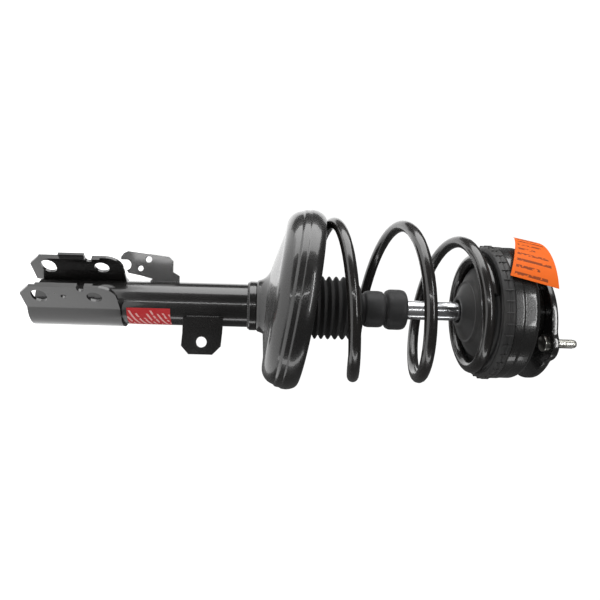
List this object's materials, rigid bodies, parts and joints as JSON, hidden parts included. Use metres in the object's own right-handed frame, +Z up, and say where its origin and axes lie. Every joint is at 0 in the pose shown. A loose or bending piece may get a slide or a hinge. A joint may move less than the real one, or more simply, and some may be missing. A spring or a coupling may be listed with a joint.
{
  "type": "suspension strut",
  "caption": "Front suspension strut with coil spring between a tilted dished lower seat and an upper seat, a studded top mount and a two-bolt knuckle bracket.",
  "frame": {"origin": "where the piston rod's axis crosses the flat top face that bolts up against the strut tower", "axes": "+Z up along the rod's axis, out of the tower face; +Y towards the knuckle bolts; +X along the knuckle bolts"},
  "size_m": [0.2069, 0.2073, 0.607],
  "materials": {
    "black_paint": "glossy black electrocoat",
    "spring_coat": "semi-gloss black powder coat",
    "rubber": "matte moulded black rubber",
    "bump_foam": "matte dark cellular urethane",
    "chrome": "ground and hard chromed",
    "zinc": "bright zinc plate",
    "steel": "machined",
    "cage_plastic": "moulded nylon",
    "orange_sticker": "satin printed film",
    "red_sticker": "satin printed film"
  },
  "bodies": {
    "mount": {"mount_plate": "black_paint", "tower_studs": "zinc", "mount_housing": "black_paint", "mount_rubber": "rubber", "mount_insert": "steel", "rod_washer": "zinc", "rod_nut": "zinc", "rod": "chrome", "rebound_stop": "steel", "piston": "steel", "piston_nut": "zinc", "bearing_upper_race": "steel"},
    "upper_seat": {"bearing_lower_race": "steel", "bearing_balls": "steel", "bearing_cage": "cage_plastic", "upper_spring_seat": "black_paint", "upper_insulator": "rubber", "coil_spring": "spring_coat"},
    "strut_tube": {"strut_tube": "black_paint", "base_cap": "black_paint", "base_valve": "steel", "pressure_cylinder": "steel", "rod_guide": "steel", "rod_seal": "rubber", "tube_end_ring": "steel", "seat_collar": "black_paint", "lower_spring_seat": "black_paint", "lower_insulator": "rubber", "knuckle_bracket": "black_paint", "hose_bracket": "black_paint", "link_tab": "black_paint", "dust_boot": "rubber", "bump_stop": "bump_foam"}
  },
  "joints": [
    {"name": "steer_swivel", "type": "hinge", "parent": "mount", "child": "upper_seat", "pos_m": [0, 0, -0.035], "axis": [0, 0, 1], "continuous": true},
    {"name": "strut_stroke", "type": "slide", "parent": "upper_seat", "child": "strut_tube", "axis": [0, 0, 1], "range_m": [0, 0.085], "stiffness_N_per_m": 25000, "springref_m": -0.03, "deforming": ["coil_spring", "bump_stop"]}
  ]
}
